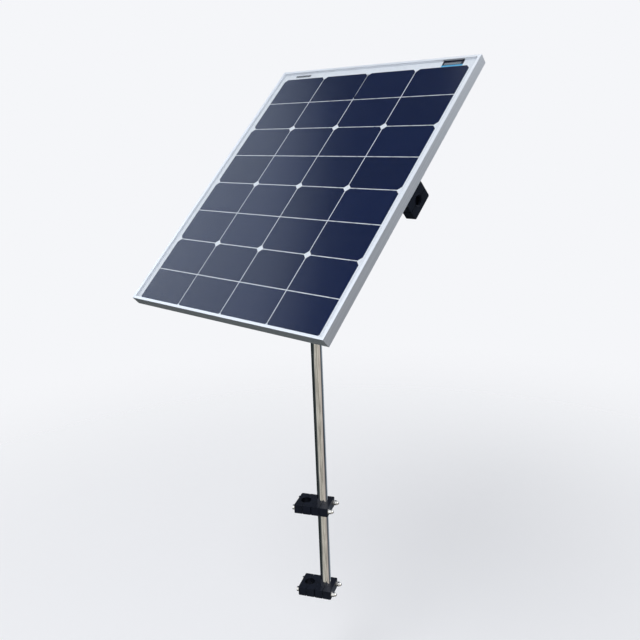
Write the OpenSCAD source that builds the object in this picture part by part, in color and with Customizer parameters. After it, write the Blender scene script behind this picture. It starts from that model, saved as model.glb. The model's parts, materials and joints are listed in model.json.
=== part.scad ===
// Solar panel on a stainless T support that clamps beside a boat's rail stanchion.
// Origin: middle of the lower clamp's stanchion bore, on the stanchion's axis.
// +Z runs up the stanchion, +X along the cross tube, and the glass faces -Y and +Z.

/* [Panel] */
// Width of the panel over its frame
panel_w = 545; // [430:1:700]
// Height of the panel over its frame, up the slope
panel_h = 681; // [500:1:900]
// Slope of the panel from level
panel_slope = 43; // [20:1:70]

/* [Frame extrusion] */
// Depth of the frame, front to back
frame_depth = 22; // [20:0.5:40]
// Thickness of the frame's outer wall
frame_wall = 1.4; // [1:0.1:2.5]
// Width of the front lip over the glass
lip_w = 6.2; // [6:0.1:12]
// Thickness of the front lip
lip_t = 1.2; // [0.8:0.1:2]
// Width of the back flange
flange_w = 22; // [20:1:30]
// Thickness of the back flange
flange_t = 1.4; // [1:0.1:2.5]
// Thickness of the corner keys
key_t = 2.6; // [1.5:0.1:3]
// Length of each leg of a corner key
key_leg = 32; // [20:1:50]
// Radius of the spare fixing holes in the back flange
fixing_hole_r = 3.5; // [2.5:0.1:4.5]
// Distance between the spare fixing holes, up the slope
fixing_spacing = 360; // [200:5:450]

/* [Laminate] */
// Thickness of the tempered glass
glass_t = 3.2; // [2:0.1:4]
// Thickness of each encapsulant sheet
encapsulant_t = 0.4; // [0.2:0.05:0.8]
// Thickness of a cell
cell_t = 0.2; // [0.15:0.01:0.3]
// Thickness of the interconnect tabs and ribbons
tab_t = 0.15; // [0.1:0.01:0.3]
// Thickness of the backsheet
backsheet_t = 0.3; // [0.2:0.05:0.6]
// Sealant between the laminate's faces and the frame
seal_t = 0.3; // [0.2:0.05:1]
// Sealant between the laminate's edge and the frame
seal_edge = 1; // [0.5:0.1:3]

/* [Cells] */
// Gap between columns of cells
column_gap = 2; // [1.5:0.1:6]
// Gap between cells in a column
row_gap = 2; // [1:0.1:4]
// Leg of the cut corners of a full cell
cell_chamfer = 7.5; // [4:0.5:20]
// Side edges of the frame to the cells
side_margin = 17.5; // [4:0.5:40]
// Top edge of the frame to the first cell
top_margin = 23; // [23:0.5:60]
// Bottom edge of the frame to the last cell
bottom_margin = 4; // [4:0.5:40]

/* [Labels] */
// Width of the front label
label_w = 50; // [30:1:80]
// Height of the front label
label_h = 17.5; // [8:0.5:18]
// Height of the front label's light band
label_band_h = 4; // [2:0.1:6]
// Top edge of the frame to the front label, whose top is under the lip
label_from_top = 4.8; // [4:0.1:12]
// Front label to the frame's right edge
label_right = 37; // [20:1:80]
// Width of the small strip at the top left
strip_w = 50; // [20:1:80]
// Height of the small strip
strip_h = 8; // [3:0.5:10]
// Small strip to the frame's left edge
strip_left = 46; // [15:1:80]
// Width of the rating plate on the back
rating_w = 80; // [40:1:100]
// Height of the rating plate on the back
rating_h = 50; // [30:1:80]

/* [Tubes] */
// Outer radius of the mast and the cross tube
tube_r = 12.5; // [10:0.25:16]
// Wall of the mast and the cross tube
tube_wall = 1.5; // [1:0.1:2.5]
// Length of the mast
mast_len = 943; // [600:1:1400]
// Radial clearance of a tube that turns in its clamp
turn_clear = 0.05; // [0.02:0.01:0.1]

/* [Clamps] */
// Width of a clamp shell across its two bolts
shell_w = 60; // [56:1:80]
// Thickness of a clamp shell from its split face
shell_t = 20; // [17:0.5:30]
// Height of a clamp shell along its bore
shell_h = 21; // [16:0.5:22]
// Gap left between two shells that grip a tube
shell_gap = 1; // [0.5:0.1:2]
// Outer corner radius of a shell
shell_corner = 3; // [1:0.5:6]
// Bolt axis to bore axis
bolt_offset = 21; // [18:0.5:23]
// Bearing of the clamp stack from +X
stack_bearing = 24; // [0:1:60]
// Radius of the stanchion that the clamps grip
rail_r = 12.5; // [10:0.25:14]
// Distance between the two clamps up the stanchion
clamp_spacing = 222; // [120:1:400]

/* [Tee] */
// Wall of the tee fitting
tee_wall = 2.9; // [2:0.1:4]
// Length of the tee's sleeve on the cross tube
tee_sleeve = 64; // [50:1:100]
// Depth of the tee's leg below the cross tube's axis
tee_leg = 50; // [40:1:80]

/* [Screws] */
// Radius of the bolts and screws
bolt_r = 3; // [2.5:0.5:3]
// Radial clearance of a bolt in its hole
bolt_clear = 0.3; // [0.1:0.05:0.5]

/* [Junction box] */
// Width of the junction box
box_w = 97; // [80:1:130]
// Height of the junction box, up the slope
box_h = 72; // [60:1:90]
// Depth of the junction box with its lid
box_d = 17; // [16:0.5:18]
// Wall of the junction box
box_wall = 2.5; // [1.5:0.1:3]
// Top edge of the frame to the middle of the junction box
box_from_top = 92; // [70:1:160]
// Radius of a cable inlet's bore
inlet_r = 3; // [2:0.25:3.5]
// Distance between the two cable inlets
inlet_spacing = 48; // [30:1:60]

/* [Hidden] */
$fn = 64;

// Colours
ALUMINIUM = "gainsboro";
STEEL = "silver";
NYLON = "#15171c";
NAVY = "#16213f";
WHITE = "#eceef6";

// A cut starts and ends this far outside what it cuts
CUT = 1;

// Clamps: the bore axis to the back of a shell, and mast axis to stanchion axis
shell_reach = shell_gap / 2 + shell_t;
axis_pitch = 2 * shell_reach;
mast_x = axis_pitch * cos(stack_bearing);
mast_y = axis_pitch * sin(stack_bearing);
turn_r = tube_r + turn_clear;
tube_bore_r = tube_r - tube_wall;

// Mast: plug head flush with the lower clamp's underside, tee above the mast's top
PLUG_HEAD = 2;
PLUG_DEEP = 16;
plug_r = tube_r - 0.1;
TEE_SEPTUM = 2;
TEE_FIT = 0.1;
MAST_TOP_GAP = 0.5;
mast_foot_z = PLUG_HEAD - shell_h / 2;
mast_top_z = mast_foot_z + mast_len;
tee_bore_r = tube_r + TEE_FIT;
tee_r = tube_r + tee_wall;
mast_top_drop = tee_bore_r + TEE_SEPTUM + MAST_TOP_GAP;
tee_z = mast_top_z + mast_top_drop;

// Cross tube: its caps come flush with the panel's sides
CAP_T = 1.5;
CAP_DEEP = 14;
CAP_RECESS = 8;
CAP_WALL = 2;
cross_tube_len = panel_w - 2 * CAP_T;

// Panel stack, heights out of the glass from the cross tube's axis
laminate_t = glass_t + 2 * encapsulant_t + cell_t + tab_t + backsheet_t;
flange_z = shell_reach;
front_z = flange_z + frame_depth;
channel_top_z = front_z - lip_t;
glass_z = channel_top_z - seal_t - glass_t;
front_encap_z = glass_z - encapsulant_t;
cell_z = front_encap_z - cell_t;
tab_z = cell_z - tab_t;
rear_encap_z = tab_z - encapsulant_t;
backsheet_z = rear_encap_z - backsheet_t;
shelf_z = backsheet_z - seal_t;
SHELF_T = 1.2;
KEY_WALL = 1.2;
chamber_w = frame_wall + key_t + KEY_WALL;
chamber_top = shelf_z - SHELF_T - flange_z;
laminate_inset = frame_wall + seal_edge;
laminate_w = panel_w - 2 * laminate_inset;
laminate_h = panel_h - 2 * laminate_inset;
KEY_CLEAR = 0.1;

// Cells
COLUMNS = 4;
ROWS = 8;
cell_w = (panel_w - 2 * side_margin - (COLUMNS - 1) * column_gap) / COLUMNS;
cell_h = (panel_h - top_margin - bottom_margin - (ROWS - 1) * row_gap) / ROWS;
column_pitch = cell_w + column_gap;
row_pitch = cell_h + row_gap;
cells_top = panel_h / 2 - top_margin;
TABS_PER_CELL = 3;
TAB_W = 6;
TAB_OVERLAP = 3;
RIBBON_W = 5;
RIBBON_INSET = 5;
LEAD_INSET = 14;
LEAD_STEP = 15;

// Labels, on the cells' layer under the glass and on the backsheet
LABEL_T = 0.1;
label_x = panel_w / 2 - label_right - label_w / 2;
label_top = panel_h / 2 - label_from_top;
label_dark_h = label_h - label_band_h;
strip_x = strip_left + strip_w / 2 - panel_w / 2;
strip_y = panel_h / 2 - (lip_w + top_margin) / 2;
rating_x = -panel_w / 4;

// Junction box, on the backsheet, with a slot for the ribbons
PAD_T = 0.8;
PAD_INSET = 2;
LID_T = 2.5;
GASKET_T = 1;
BOX_CORNER = 4;
BOX_FLOOR = 1.5;
SLOT_W = 44;
SLOT_H = 10;
box_y = panel_h / 2 - box_from_top;
box_top_z = backsheet_z - PAD_T;
box_back_z = box_top_z - box_d;
lid_z = box_back_z + LID_T;
gasket_z = lid_z + GASKET_T;

// Lid screws, in bosses at the box's corners
BOSS_R = 3.6;
BOSS_OVERLAP = 1;
BOSS_DEEP = 8;
LID_SCREW_R = 1.5;
LID_SCREW_LEN = 9;
LID_HOLE_CLEAR = 0.2;
LID_HEAD_R = 2.9;
LID_HEAD_T = 1.4;
LID_HEAD_SINK = 1.5;
CROSS_W = 3.2;
CROSS_T = 0.7;
CROSS_DEEP = 0.8;

// Terminals: clips from the slot to a block, and a diode between each two
CLIP_DROP = 6.5;
CLIP_T = 1;
CLIP_W = 8;
BLOCK_W = 56;
BLOCK_H = 10;
PIN_R = 1.5;
PIN_CLEAR = 0.1;
PIN_LEN = 2.5;
PIN_FROM_SLOT = 9;
DIODE_R = 2.5;
DIODE_LEN = 8;
DIODE_WIRE_R = 0.5;
DIODE_LEG_W = 1.2;
DIODE_LEG_X = 5.4;
DIODE_FROM_SLOT = 3;
clip_z = box_top_z - CLIP_DROP;
block_z = clip_z + CLIP_T;
block_t = box_top_z - BOX_FLOOR - block_z;
pin_y = -SLOT_H / 2 - PIN_FROM_SLOT;
diode_y = -SLOT_H / 2 - DIODE_FROM_SLOT;
diode_drop = DIODE_R + 0.1;

// Cable glands, through the box's lower wall
GLAND_R = 6.2;
GLAND_THREAD_R = 4.8;
GLAND_FLANGE = 3;
GLAND_THREAD = 9;
GLAND_INSIDE = 3;
GLAND_DROP = 7.7;
SEAL_LEN = 4;
SEAL_T = 0.9;
GLAND_NUT_GAP = 0.3;
GLAND_NUT_HEX = 7;
GLAND_NUT_LEN = 12;
GLAND_NUT_R = 5.3;
GLAND_MOUTH_R = 4.2;
gland_z = box_top_z - GLAND_DROP;
gland_y = box_y - box_h / 2;

// Screws
hole_r = bolt_r + bolt_clear;
HEX_R = 5 / cos(30);
NUT_T = 5;
WASHER_R = 6;
WASHER_T = 1.6;
HEAD_T = 4;
DOME_H = 6.5;
DOME_R = 4.8;
THREAD_SPARE = 3;
CAP_HEAD_R = 5;
CAP_HEAD_T = 6;
COUNTERBORE_R = CAP_HEAD_R + 0.4;
COUNTERBORE_D = CAP_HEAD_T + 0.3;
SOCKET_R = 2.5 / cos(30);
SOCKET_D = 3;
THREAD_CLEAR = 0.1;

// End clamps: the washers and nuts sit on the flange beside the key chamber
end_clamp_x = (panel_w - shell_h) / 2;
end_washer_r = shell_h / 2 - chamber_w - KEY_CLEAR;
end_nut_z = flange_z + flange_t + WASHER_T;
cap_head_z = COUNTERBORE_D - shell_reach;

// Tee: collars round its three mouths, and a grub screw near each
TEE_COLLAR_R = tee_r + 0.8;
TEE_COLLAR_W = 6;
GRUB_R = 2.5;
GRUB_INSET = 11;
GRUB_SINK = 0.4;
GRUB_SOCKET_R = 1.25 / cos(30);
GRUB_SOCKET_FLOOR = 1;

// Stack of rail clamps: from behind the stanchion to the mast's far side
stack_start = -axis_pitch - shell_reach;
stack_end = shell_reach;

// ---- placing ----

module at_tee() {
    translate([mast_x, mast_y, tee_z]) children();
}

// Children are drawn with x along the cross tube, y up the slope and z out of the glass.
module on_panel() {
    at_tee() rotate([panel_slope, 0, 0]) children();
}

// Children are drawn with x across the bolts, y along the stack and z up the stanchion.
module on_stack(height) {
    translate([mast_x, mast_y, height]) rotate([0, 0, stack_bearing - 90]) children();
}

module both_ends() {
    for (side = [-1, 1]) translate([side * end_clamp_x, 0, 0]) children();
}

module both_bolts() {
    for (side = [-1, 1]) translate([side * bolt_offset, 0, 0]) children();
}

module both_clamps() {
    for (height = [0, clamp_spacing]) on_stack(height) children();
}

// ---- general shapes ----

module slab(w, h, t, z) {
    translate([-w / 2, -h / 2, z]) cube([w, h, t]);
}

module rounded_outline(w, h, r) {
    square([w - 2 * r, h], center = true);
    square([w, h - 2 * r], center = true);
    for (x = [-1, 1], y = [-1, 1]) translate([x * (w / 2 - r), y * (h / 2 - r)]) circle(r);
}

module ring(outer_r, inner_r, t) {
    linear_extrude(t) difference() {
        circle(outer_r);
        circle(inner_r);
    }
}

module hex_prism(t) {
    cylinder(r = HEX_R, h = t, $fn = 6);
}

// ---- frame ----

// Section of the frame: x inward from the outer face, y from the back flange to the lip.
module frame_section() {
    difference() {
        union() {
            square([frame_wall, frame_depth]);
            square([flange_w, flange_t]);
            square([chamber_w, chamber_top]);
            translate([0, chamber_top]) square([lip_w, SHELF_T]);
            translate([0, frame_depth - lip_t]) square([lip_w, lip_t]);
        }
        translate([frame_wall, flange_t]) square([key_t, chamber_top - flange_t]);
    }
}

// A mitred rail along +x, with its outer face on y = 0.
module frame_rail(length) {
    intersection() {
        rotate([90, 0, 90]) linear_extrude(length) frame_section();
        linear_extrude(frame_depth) polygon([[0, 0], [length, 0],
            [length - flange_w, flange_w], [flange_w, flange_w]]);
    }
}

// A side rail, with holes for its end clamp and for spare fixings.
module side_rail() {
    difference() {
        frame_rail(panel_h);
        for (x = [-bolt_offset, bolt_offset]) flange_hole(panel_h / 2 + x, shell_h / 2, hole_r);
        for (x = [-0.5, 0.5]) {
            flange_hole(panel_h / 2 + x * fixing_spacing, (flange_w + chamber_w) / 2, fixing_hole_r);
        }
    }
}

module flange_hole(x, y, r) {
    translate([x, y, -CUT]) cylinder(r = r, h = flange_t + 2 * CUT);
}

module frame_rail_left() {
    color(ALUMINIUM) on_panel() translate([-panel_w / 2, panel_h / 2, flange_z])
        rotate(-90) side_rail();
}

module frame_rail_right() {
    color(ALUMINIUM) on_panel() translate([panel_w / 2, -panel_h / 2, flange_z])
        rotate(90) side_rail();
}

module frame_rail_top() {
    color(ALUMINIUM) on_panel() translate([panel_w / 2, panel_h / 2, flange_z])
        rotate(180) frame_rail(panel_w);
}

module frame_rail_bottom() {
    color(ALUMINIUM) on_panel() translate([-panel_w / 2, -panel_h / 2, flange_z])
        frame_rail(panel_w);
}

// An L in the chambers of two rails, drawn for the corner at the origin.
module corner_key() {
    inset = frame_wall + KEY_CLEAR;
    thick = key_t - 2 * KEY_CLEAR;
    tall = chamber_top - flange_t - 2 * KEY_CLEAR;
    translate([inset, inset, flange_z + flange_t + KEY_CLEAR]) linear_extrude(tall)
        polygon([[0, 0], [key_leg, 0], [key_leg, thick], [thick, thick], [thick, key_leg],
            [0, key_leg]]);
}

module corner_keys() {
    color(STEEL) on_panel() for (x = [0, 1], y = [0, 1]) {
        mirror([x, 0, 0]) mirror([0, y, 0]) translate([-panel_w / 2, -panel_h / 2, 0])
            corner_key();
    }
}

// ---- laminate ----

module front_glass() {
    color("#b9cbe8") on_panel() slab(laminate_w, laminate_h, glass_t, glass_z);
}

module front_encapsulant() {
    color("#dfe6f5") on_panel() slab(laminate_w, laminate_h, encapsulant_t, front_encap_z);
}

// The slot lets the ribbons through to the junction box.
module lead_slot(z) {
    translate([0, box_y, 0]) slab(SLOT_W, SLOT_H, 3 * CUT, z - CUT);
}

module rear_encapsulant() {
    color("#dfe6f5") on_panel() difference() {
        slab(laminate_w, laminate_h, encapsulant_t, rear_encap_z);
        lead_slot(rear_encap_z);
    }
}

module backsheet() {
    color(WHITE) on_panel() difference() {
        slab(laminate_w, laminate_h, backsheet_t, backsheet_z);
        lead_slot(backsheet_z);
    }
}

module perimeter_seal() {
    inner = lip_w - frame_wall;
    outer_w = panel_w - 2 * frame_wall;
    outer_h = panel_h - 2 * frame_wall;
    color("#c9ccd4") on_panel() difference() {
        slab(outer_w, outer_h, channel_top_z - shelf_z, shelf_z);
        slab(laminate_w, laminate_h, laminate_t, backsheet_z);
        slab(outer_w - 2 * inner, outer_h - 2 * inner, laminate_t + 4 * CUT, shelf_z - CUT);
    }
}

// Half a cell, its lower left corner at the origin, with two cut corners at the top.
module half_cell() {
    c = cell_chamfer;
    linear_extrude(cell_t) polygon([[0, 0], [cell_w, 0], [cell_w, cell_h - c],
        [cell_w - c, cell_h], [c, cell_h], [0, cell_h - c]]);
}

function column_x(column) = (column - COLUMNS / 2) * column_pitch + column_gap / 2;

// Every second half cell is turned over, so a pair makes one full cell.
module cell_string(column) {
    color(NAVY) on_panel() for (row = [0 : ROWS - 1]) {
        translate([column_x(column), cells_top - row * row_pitch - cell_h, cell_z])
            translate([0, (row % 2) * cell_h, 0]) mirror([0, row % 2, 0]) half_cell();
    }
}

module cell_string_1() { cell_string(0); }
module cell_string_2() { cell_string(1); }
module cell_string_3() { cell_string(2); }
module cell_string_4() { cell_string(3); }

module tab_plate(x, y, w, h) {
    translate([x, y, 0]) slab(w, h, tab_t, tab_z);
}

module cell_tabs() {
    color("#e4e6ea") on_panel()
        for (column = [0 : COLUMNS - 1], row = [1 : ROWS - 1], tab = [1 : TABS_PER_CELL]) {
            tab_plate(column_x(column) + cell_w * (tab - 0.5) / TABS_PER_CELL,
                cells_top - row * row_pitch + row_gap / 2, TAB_W, row_gap + 2 * TAB_OVERLAP);
        }
}

// Series links under the first and last cells, and three leads into the junction box.
module bus_ribbons() {
    link = column_pitch + cell_w * 2 / 3;
    top_y = cells_top - RIBBON_INSET;
    bottom_y = cells_top - ROWS * row_pitch + row_gap + RIBBON_INSET;
    lead_y = cells_top - LEAD_INSET;
    lead_x = (COLUMNS - 1) / 2 * column_pitch;
    leads_drop = lead_y - box_y;
    color("#d8dade") on_panel() {
        for (x = [-1, 1]) {
            tab_plate(x * column_pitch, bottom_y, link, RIBBON_W);
            union() {
                tab_plate(x * (lead_x + LEAD_STEP) / 2, lead_y, lead_x - LEAD_STEP, RIBBON_W);
                tab_plate(x * LEAD_STEP, (lead_y + box_y) / 2, RIBBON_W, leads_drop);
                lead_tail(x * LEAD_STEP);
            }
        }
        union() {
            tab_plate(0, top_y, link, RIBBON_W);
            tab_plate(0, (top_y + box_y) / 2, RIBBON_W, top_y - box_y);
            lead_tail(0);
        }
    }
}

// A ribbon's end, turned down through the slot to its clip.
module lead_tail(x) {
    tail = tab_z + tab_t - clip_z;
    translate([x, box_y, 0]) slab(RIBBON_W, tab_t, tail, clip_z);
}

// ---- labels ----

module label_plate(x, y, w, h, z, t) {
    translate([x, y, 0]) slab(w, h, t, z);
}

module front_label() {
    color("#14182c") on_panel()
        label_plate(label_x, label_top - label_dark_h / 2, label_w, label_dark_h, cell_z, LABEL_T);
}

module front_label_band() {
    color("#4fb4e6") on_panel()
        label_plate(label_x, label_top - label_h + label_band_h / 2, label_w, label_band_h, cell_z,
            LABEL_T);
}

module front_strip() {
    color("#8b93a6") on_panel() label_plate(strip_x, strip_y, strip_w, strip_h, cell_z, LABEL_T);
}

module rear_label() {
    color("#d5d9df") on_panel()
        label_plate(rating_x, box_y, rating_w, rating_h, backsheet_z - LABEL_T, LABEL_T);
}

// ---- junction box ----

module in_box() {
    on_panel() translate([0, box_y, 0]) children();
}

module box_corners() {
    inset = box_wall + BOSS_R - BOSS_OVERLAP;
    for (x = [-1, 1], y = [-1, 1])
        translate([x * (box_w / 2 - inset), y * (box_h / 2 - inset), 0]) children();
}

module junction_box_pad() {
    color("#e8e8e8") in_box() translate([0, 0, box_top_z]) linear_extrude(PAD_T) difference() {
        rounded_outline(box_w - 2 * PAD_INSET, box_h - 2 * PAD_INSET, BOX_CORNER);
        square([SLOT_W, SLOT_H], center = true);
    }
}

module junction_box_base() {
    color(NYLON) in_box() difference() {
        translate([0, 0, gasket_z]) linear_extrude(box_top_z - gasket_z)
            rounded_outline(box_w, box_h, BOX_CORNER);
        difference() {
            translate([0, 0, gasket_z - CUT]) linear_extrude(box_top_z - gasket_z - BOX_FLOOR + CUT)
                rounded_outline(box_w - 2 * box_wall, box_h - 2 * box_wall, BOX_CORNER - box_wall);
            box_corners() translate([0, 0, gasket_z - 2 * CUT]) cylinder(r = BOSS_R, h = box_d);
        }
        slab(SLOT_W, SLOT_H, box_d, box_top_z - BOX_FLOOR - CUT);
        box_corners() translate([0, 0, gasket_z - CUT])
            cylinder(r = LID_SCREW_R, h = CUT + BOSS_DEEP);
        for (x = [-0.5, 0.5]) translate([x * inlet_spacing, -box_h / 2 - CUT, gland_z])
            rotate([-90, 0, 0]) cylinder(r = GLAND_THREAD_R, h = box_wall + 2 * CUT);
    }
}

module junction_box_gasket() {
    color("#2a2c30") in_box() translate([0, 0, lid_z]) linear_extrude(GASKET_T) difference() {
        rounded_outline(box_w, box_h, BOX_CORNER);
        rounded_outline(box_w - 2 * box_wall, box_h - 2 * box_wall, BOX_CORNER - box_wall);
    }
}

module junction_box_lid() {
    color(NYLON) in_box() difference() {
        translate([0, 0, box_back_z]) linear_extrude(LID_T) rounded_outline(box_w, box_h, BOX_CORNER);
        box_corners() translate([0, 0, box_back_z - CUT]) {
            cylinder(r = LID_SCREW_R + LID_HOLE_CLEAR, h = LID_T + 2 * CUT);
            cylinder(r = LID_HEAD_R + LID_HOLE_CLEAR, h = LID_HEAD_SINK + CUT);
        }
    }
}

module junction_box_screws() {
    head_z = box_back_z + LID_HEAD_SINK - LID_HEAD_T;
    color(STEEL) in_box() box_corners() difference() {
        union() {
            translate([0, 0, head_z]) cylinder(r = LID_HEAD_R, h = LID_HEAD_T);
            translate([0, 0, head_z + CUT]) cylinder(r = LID_SCREW_R - PIN_CLEAR, h = LID_SCREW_LEN);
        }
        for (turn = [0, 90]) rotate(turn) slab(CROSS_W, CROSS_T, CROSS_DEEP + CUT, head_z - CUT);
    }
}

module terminal_block() {
    color("#3a3d42") in_box() translate([0, pin_y, block_z]) difference() {
        slab(BLOCK_W, BLOCK_H, block_t, 0);
        for (x = [-LEAD_STEP, 0, LEAD_STEP]) translate([x, 0, -CUT])
            cylinder(r = PIN_R + PIN_CLEAR, h = PIN_LEN + PIN_CLEAR + CUT);
    }
}

// Each clip is a flat spring with a screw pin in the block, and reaches the ribbon's end.
module terminal_clips() {
    reach = BLOCK_H / 2 - pin_y;
    color("#c8a24a") in_box() for (x = [-LEAD_STEP, 0, LEAD_STEP]) {
        translate([x, -(reach + tab_t) / 2, 0]) slab(CLIP_W, reach, CLIP_T, clip_z);
        translate([x, pin_y, clip_z]) cylinder(r = PIN_R, h = CLIP_T + PIN_LEN);
    }
}

// Each diode bridges two clips, on the lid's side of them.
module bypass_diodes() {
    color("#202226") in_box() for (x = [-0.5, 0.5]) translate([x * LEAD_STEP, diode_y, clip_z]) {
        translate([0, 0, -diode_drop]) rotate([0, 90, 0]) {
            cylinder(r = DIODE_R, h = DIODE_LEN, center = true);
            cylinder(r = DIODE_WIRE_R, h = 2 * DIODE_LEG_X + DIODE_LEG_W, center = true);
        }
        for (end = [-1, 1]) translate([end * DIODE_LEG_X, 0, 0])
            slab(DIODE_LEG_W, 2 * DIODE_WIRE_R, diode_drop, -diode_drop);
    }
}

module both_glands() {
    on_panel() for (x = [-0.5, 0.5]) translate([x * inlet_spacing, gland_y, gland_z])
        rotate([90, 0, 0]) children();
}

module cable_gland_bodies() {
    inside_z = -box_wall - GLAND_INSIDE;
    color(NYLON) both_glands() difference() {
        union() {
            cylinder(r = GLAND_R, h = GLAND_FLANGE, $fn = 6);
            translate([0, 0, inside_z])
                cylinder(r = GLAND_THREAD_R - THREAD_CLEAR, h = GLAND_THREAD - inside_z);
        }
        translate([0, 0, inside_z - CUT]) cylinder(r = inlet_r, h = GLAND_THREAD - inside_z + 2 * CUT);
        translate([0, 0, GLAND_THREAD - SEAL_LEN])
            cylinder(r = inlet_r + SEAL_T + THREAD_CLEAR, h = SEAL_LEN + CUT);
    }
}

module cable_gland_nuts() {
    thread = GLAND_THREAD - GLAND_FLANGE + 1;
    cone_z = GLAND_NUT_HEX + 2;
    color(NYLON) both_glands() translate([0, 0, GLAND_FLANGE + GLAND_NUT_GAP]) difference() {
        union() {
            cylinder(r = GLAND_R, h = GLAND_NUT_HEX, $fn = 6);
            rotate_extrude() polygon([[0, GLAND_NUT_HEX - CUT], [GLAND_NUT_R, GLAND_NUT_HEX - CUT],
                [GLAND_NUT_R, cone_z], [GLAND_MOUTH_R, GLAND_NUT_LEN], [0, GLAND_NUT_LEN]]);
        }
        translate([0, 0, -CUT]) cylinder(r = GLAND_THREAD_R, h = thread + CUT);
        cylinder(r = inlet_r + LID_HOLE_CLEAR, h = GLAND_NUT_LEN + CUT);
    }
}

module cable_gland_seals() {
    color("#2a2c30") both_glands() translate([0, 0, GLAND_THREAD - SEAL_LEN])
        ring(inlet_r + SEAL_T, inlet_r, SEAL_LEN);
}

// ---- clamps ----

// Half of a clamp: the bore along z, the split face at half the gap, the back towards +y.
module clamp_shell(bore_r) {
    r = shell_corner;
    difference() {
        linear_extrude(shell_h, center = true) difference() {
            translate([0, shell_gap / 2]) {
                translate([-shell_w / 2, 0]) square([shell_w, shell_t - r]);
                translate([r - shell_w / 2, 0]) square([shell_w - 2 * r, shell_t]);
                for (x = [-1, 1]) translate([x * (shell_w / 2 - r), shell_t - r]) circle(r);
            }
            circle(bore_r);
        }
        both_bolts() rotate([-90, 0, 0]) cylinder(r = hole_r, h = shell_reach + CUT);
    }
}

// Turns a shell's bore from z to x, with its back out of the glass.
module to_panel() {
    rotate([90, 0, 90]) children();
}

module frame_shell() {
    color(NYLON) to_panel() clamp_shell(turn_r);
}

module outer_shell() {
    color(NYLON) mirror([0, 0, 1]) to_panel() difference() {
        clamp_shell(turn_r);
        both_bolts() translate([0, shell_reach - COUNTERBORE_D, 0]) rotate([-90, 0, 0])
            cylinder(r = COUNTERBORE_R, h = COUNTERBORE_D + CUT);
    }
}

module left_clamp_frame_shell() { on_panel() translate([-end_clamp_x, 0, 0]) frame_shell(); }
module left_clamp_outer_shell() { on_panel() translate([-end_clamp_x, 0, 0]) outer_shell(); }
module right_clamp_frame_shell() { on_panel() translate([end_clamp_x, 0, 0]) frame_shell(); }
module right_clamp_outer_shell() { on_panel() translate([end_clamp_x, 0, 0]) outer_shell(); }

module end_clamp_bolts() {
    on_panel() both_ends() to_panel() both_bolts() rotate([-90, 0, 0]) children();
}

module end_clamp_screws() {
    color(STEEL) end_clamp_bolts() difference() {
        union() {
            translate([0, 0, cap_head_z - CAP_HEAD_T]) cylinder(r = CAP_HEAD_R, h = CAP_HEAD_T);
            translate([0, 0, cap_head_z - CUT])
                cylinder(r = bolt_r - THREAD_CLEAR, h = end_nut_z + NUT_T + 2 * CUT - cap_head_z);
        }
        translate([0, 0, cap_head_z - CAP_HEAD_T - CUT])
            cylinder(r = SOCKET_R, h = SOCKET_D + CUT, $fn = 6);
    }
}

module end_clamp_washers() {
    color(STEEL) end_clamp_bolts() translate([0, 0, flange_z + flange_t])
        ring(end_washer_r, bolt_r, WASHER_T);
}

module end_clamp_nuts() {
    color(STEEL) end_clamp_bolts() translate([0, 0, end_nut_z]) difference() {
        hex_prism(NUT_T);
        translate([0, 0, -CUT]) cylinder(r = bolt_r, h = NUT_T + 2 * CUT);
    }
}

// ---- tubes ----

module cross_tube() {
    color(STEEL) at_tee() rotate([0, 90, 0]) translate([0, 0, -cross_tube_len / 2])
        ring(tube_r, tube_bore_r, cross_tube_len);
}

// A plug cap with its head on a tube's end at z = 0 and its body inside the tube.
module tube_cap() {
    difference() {
        union() {
            cylinder(r = plug_r, h = CAP_T);
            translate([0, 0, -CAP_DEEP]) cylinder(r = tube_bore_r, h = CAP_DEEP);
        }
        translate([0, 0, -CAP_RECESS]) cylinder(r = tube_bore_r - CAP_WALL, h = CAP_RECESS + CAP_T + CUT);
    }
}

module cross_tube_cap_left() {
    color(NYLON) at_tee() translate([-cross_tube_len / 2, 0, 0]) rotate([0, -90, 0]) tube_cap();
}

module cross_tube_cap_right() {
    color(NYLON) at_tee() translate([cross_tube_len / 2, 0, 0]) rotate([0, 90, 0]) tube_cap();
}

module tee_outside() {
    translate([-tee_sleeve / 2, 0, 0]) rotate([0, 90, 0]) cylinder(r = tee_r, h = tee_sleeve);
    translate([0, 0, -tee_leg]) cylinder(r = tee_r, h = tee_leg);
    translate([0, 0, -tee_leg]) cylinder(r = TEE_COLLAR_R, h = TEE_COLLAR_W);
    for (side = [0, 1]) mirror([side, 0, 0]) translate([tee_sleeve / 2, 0, 0])
        rotate([0, -90, 0]) cylinder(r = TEE_COLLAR_R, h = TEE_COLLAR_W);
}

// The three grub screws press from the back.
module grub_places() {
    for (x = [-1, 1]) translate([x * (tee_sleeve / 2 - GRUB_INSET), 0, 0]) rotate([-90, 0, 0])
        children();
    translate([0, 0, GRUB_INSET - tee_leg]) rotate([-90, 0, 0]) children();
}

module tee_fitting() {
    color(STEEL) at_tee() difference() {
        tee_outside();
        rotate([0, 90, 0]) cylinder(r = tee_bore_r, h = tee_sleeve + 2 * CUT, center = true);
        translate([0, 0, -tee_leg - CUT])
            cylinder(r = tee_bore_r, h = tee_leg + CUT - tee_bore_r - TEE_SEPTUM);
        grub_places() cylinder(r = GRUB_R, h = 2 * tee_r);
    }
}

module tee_grub_screws() {
    color(STEEL) at_tee() grub_places() translate([0, 0, tube_r]) difference() {
        cylinder(r = GRUB_R - THREAD_CLEAR, h = tee_wall - GRUB_SINK);
        translate([0, 0, GRUB_SOCKET_FLOOR]) cylinder(r = GRUB_SOCKET_R, h = tee_wall, $fn = 6);
    }
}

module mast_tube() {
    color(STEEL) translate([mast_x, mast_y, mast_foot_z]) ring(tube_r, tube_bore_r, mast_len);
}

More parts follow.
